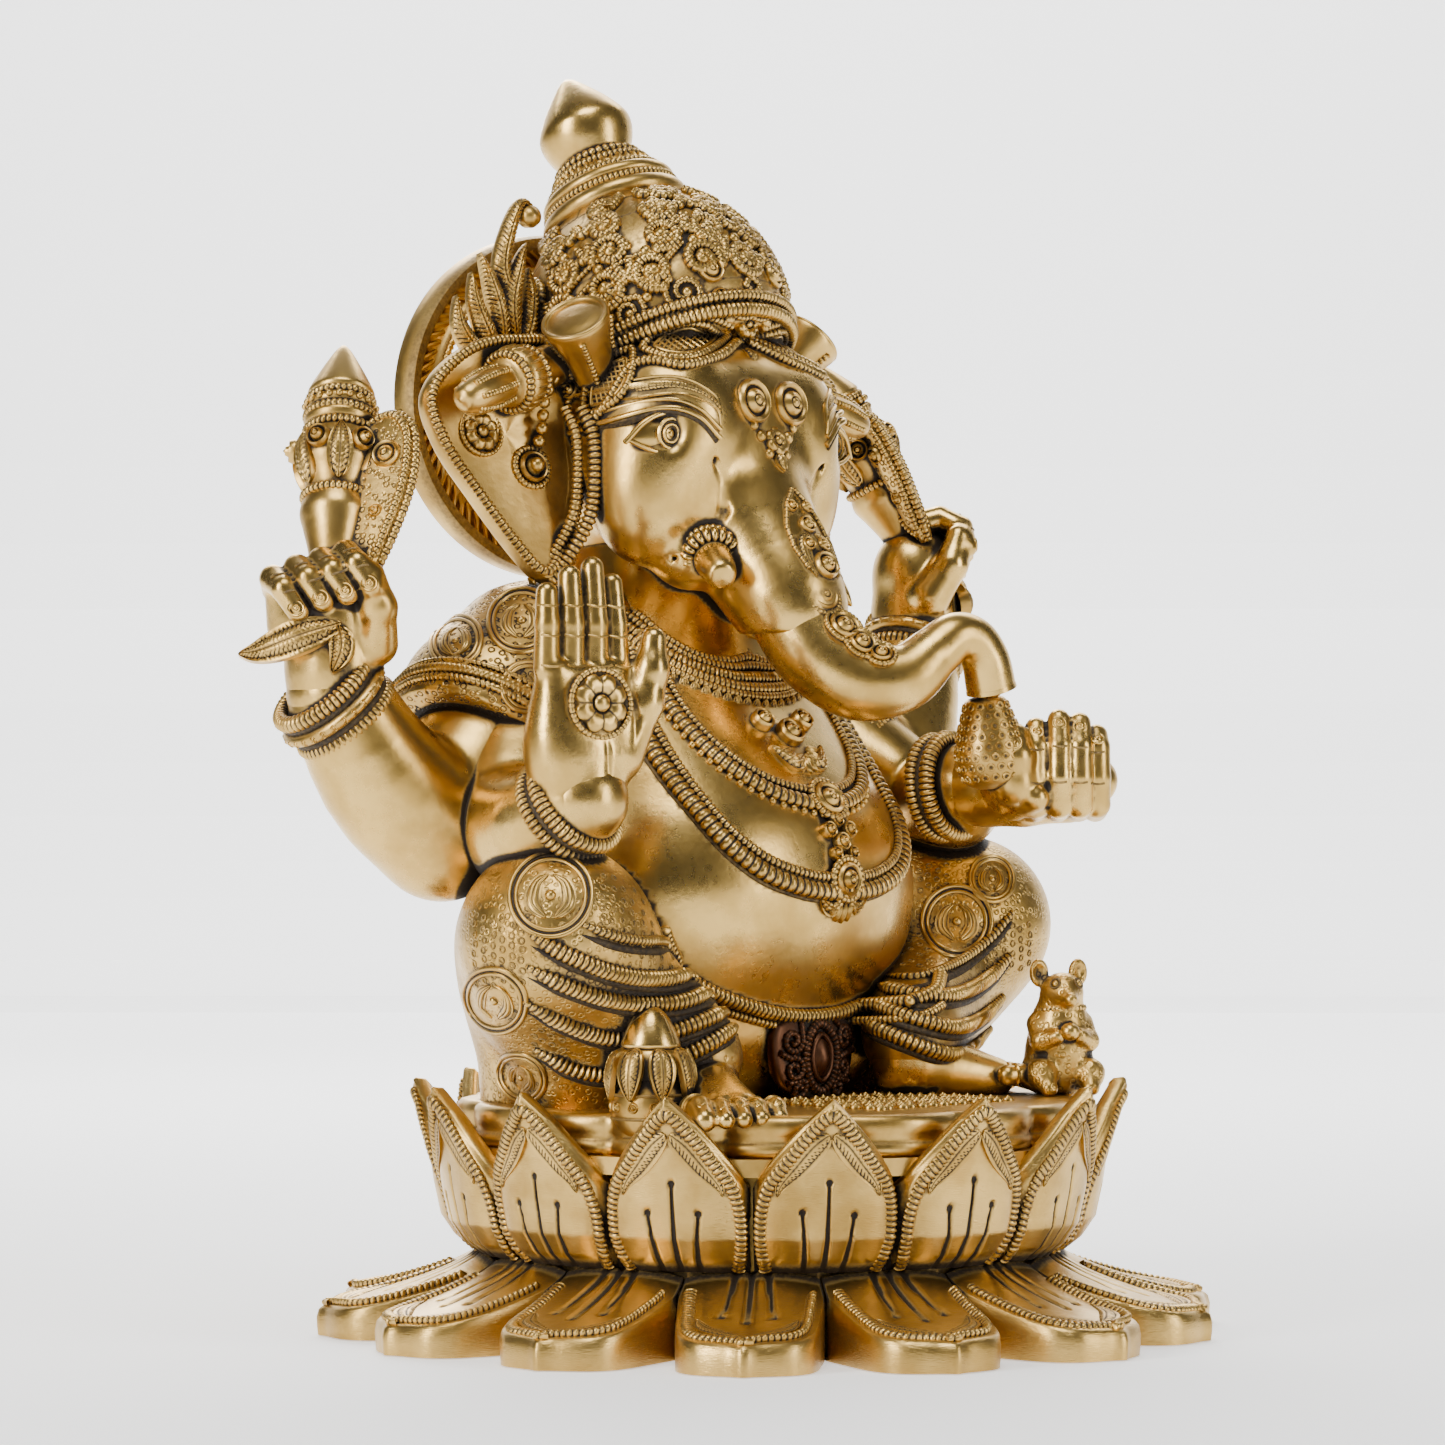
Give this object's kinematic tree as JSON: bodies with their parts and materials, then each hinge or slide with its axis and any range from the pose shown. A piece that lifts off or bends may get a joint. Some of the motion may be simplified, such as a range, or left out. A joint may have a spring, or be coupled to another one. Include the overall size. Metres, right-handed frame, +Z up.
{
  "type": "ganesha idol",
  "caption": "Seated elephant-headed deity in cast brass, hand raised in blessing and sweet in the other, on a loose double-lotus pedestal.",
  "frame": {"origin": "centre of the pedestal's underside, on the table", "axes": "+Z up; the figure faces -Y, so its right hand is on the -X side"},
  "size_m": [0.2984, 0.266, 0.375],
  "materials": {
    "polished_brass": "polished, with fine scratches",
    "antiqued_brass": "brushed highs, dark oxide in the engraving",
    "patina_brass": "dark red-brown patina"
  },
  "bodies": {
    "lotus_base": {"lotus_lower_petals": "antiqued_brass", "lotus_upper_petals": "antiqued_brass", "lotus_deck": "antiqued_brass"},
    "idol": {"seat_slab": "antiqued_brass", "torso": "polished_brass", "right_leg": "antiqued_brass", "left_leg": "antiqued_brass", "right_foot": "polished_brass", "left_foot": "polished_brass", "waist_belt": "antiqued_brass", "waist_clasp": "patina_brass", "right_sleeve": "antiqued_brass", "left_sleeve": "antiqued_brass", "collar": "antiqued_brass", "short_necklace": "antiqued_brass", "long_necklace": "antiqued_brass", "necklace_pendant": "antiqued_brass", "right_rear_arm": "polished_brass", "left_rear_arm": "polished_brass", "right_front_arm": "polished_brass", "left_front_arm": "polished_brass", "right_rear_bangle": "antiqued_brass", "left_rear_bangle": "antiqued_brass", "right_front_bangle": "antiqued_brass", "left_front_bangle": "antiqued_brass", "right_rear_hand": "polished_brass", "left_rear_hand": "polished_brass", "right_front_hand": "polished_brass", "left_front_hand": "polished_brass", "right_axe": "antiqued_brass", "left_axe": "antiqued_brass", "modak": "antiqued_brass", "palm_rosette": "antiqued_brass", "head": "polished_brass", "trunk": "polished_brass", "trunk_band": "antiqued_brass", "forehead_medallion": "antiqued_brass", "right_tusk": "polished_brass", "left_tusk": "polished_brass", "right_ear": "antiqued_brass", "left_ear": "antiqued_brass", "right_ear_plume": "antiqued_brass", "left_ear_plume": "antiqued_brass", "right_ear_rod": "antiqued_brass", "left_ear_rod": "antiqued_brass", "right_ear_drum": "antiqued_brass", "left_ear_drum": "antiqued_brass", "crown": "antiqued_brass", "crown_band": "antiqued_brass", "crown_tiers": "antiqued_brass", "crown_finial": "polished_brass", "halo": "antiqued_brass", "halo_post": "antiqued_brass", "mouse": "antiqued_brass", "offering_pot": "antiqued_brass", "pot_leaves": "antiqued_brass", "pot_coconut": "polished_brass"}
  },
  "joints": [
    {"name": "lift", "type": "slide", "parent": "lotus_base", "child": "idol", "axis": [0, 0, 1], "range_m": [0, 0.12]}
  ]
}
